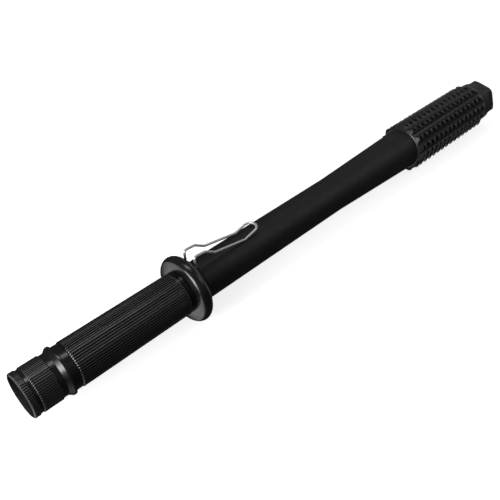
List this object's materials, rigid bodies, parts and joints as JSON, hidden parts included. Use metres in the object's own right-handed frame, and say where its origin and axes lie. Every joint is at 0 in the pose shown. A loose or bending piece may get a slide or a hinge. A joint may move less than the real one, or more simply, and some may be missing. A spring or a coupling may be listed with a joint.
{
  "type": "spiked baton torch",
  "caption": "Long baton torch with a zoom head, fluted grip, round hand guard, wire belt clip, flared shaft, spiked sleeve and hexagonal tip.",
  "frame": {"origin": "centre of the light's mouth, on the axis of the torch, in the plane of the bezel's rim", "axes": "+X runs along the torch from the mouth to the tip, +Z points to the belt clip's side, +Y completes a right-handed frame"},
  "size_m": [0.5178, 0.0506, 0.0532],
  "materials": {
    "black_anodised": "hard black anodised, glossy satin, fine bright edges",
    "matt_black_coat": "matt black coating with a very fine grain",
    "spike_black": "satin black anodised",
    "tip_black": "satin black anodised",
    "spring_steel": "polished nickel-plated spring wire",
    "seal_rubber": "smooth rubber",
    "lens_glass": "clear polished glass",
    "led_phosphor": "yellow phosphor under clear silicone",
    "board_white": "white solder mask on an aluminium board",
    "board_green": "green solder mask on glass fibre",
    "brass": "turned brass",
    "lead_insulation": "red lead insulation",
    "contact_spring": "gold-plated spring wire",
    "plated_steel": "nickel-plated steel",
    "cell_wrap": "blue shrink wrap over the cell",
    "liner_plastic": "dark grey moulded plastic",
    "plain_aluminium": "plain turned aluminium"
  },
  "bodies": {
    "grip_body": {"grip_tube": "black_anodised", "tail_spring": "contact_spring", "tail_contact": "brass", "shaft_plug": "plain_aluminium", "plug_o_ring": "seal_rubber", "guard_flange": "black_anodised", "shaft_tube": "matt_black_coat", "spiked_sleeve": "spike_black", "tip_o_ring": "seal_rubber", "tip_cap": "tip_black"},
    "head_seal": {"head_o_ring": "seal_rubber"},
    "head": {"head_barrel": "black_anodised", "neck_o_ring": "seal_rubber", "led_emitter": "led_phosphor", "led_board": "board_white", "led_pill": "brass", "led_leads": "lead_insulation", "pill_lock_ring": "brass", "driver_board": "board_green", "driver_spring": "contact_spring"},
    "focus_ring": {"bezel_ring": "black_anodised", "lens_seal": "seal_rubber", "lens": "lens_glass", "lens_retainer": "black_anodised", "focus_sleeve": "black_anodised"},
    "battery": {"battery_button": "plated_steel", "battery_cell": "cell_wrap", "battery_sleeve": "liner_plastic"},
    "belt_clip": {"wire_clip": "spring_steel"}
  },
  "joints": [
    {"name": "head_pull", "type": "slide", "parent": "grip_body", "child": "head_seal", "axis": [-1, 0, 0], "range_m": [0, 0.1]},
    {"name": "head_twist", "type": "hinge", "parent": "head_seal", "child": "head", "pos_m": [0.039, 0, 0], "axis": [-1, 0, 0], "range_deg": [0, 90]},
    {"name": "focus_slide", "type": "slide", "parent": "head", "child": "focus_ring", "axis": [-1, 0, 0], "range_m": [-0.003, 0.003]},
    {"name": "battery_slide", "type": "slide", "parent": "grip_body", "child": "battery", "axis": [-1, 0, 0], "range_m": [0, 0.09]},
    {"name": "clip_flex", "type": "hinge", "parent": "grip_body", "child": "belt_clip", "pos_m": [0.1335, 0, 0.0172], "axis": [0, -1, 0], "range_deg": [0, 6], "stiffness_Nm_per_rad": 0.25}
  ],
  "couplings": [
    {"joint": "battery_slide", "follows": "head_pull", "ratio": 0.9}
  ]
}
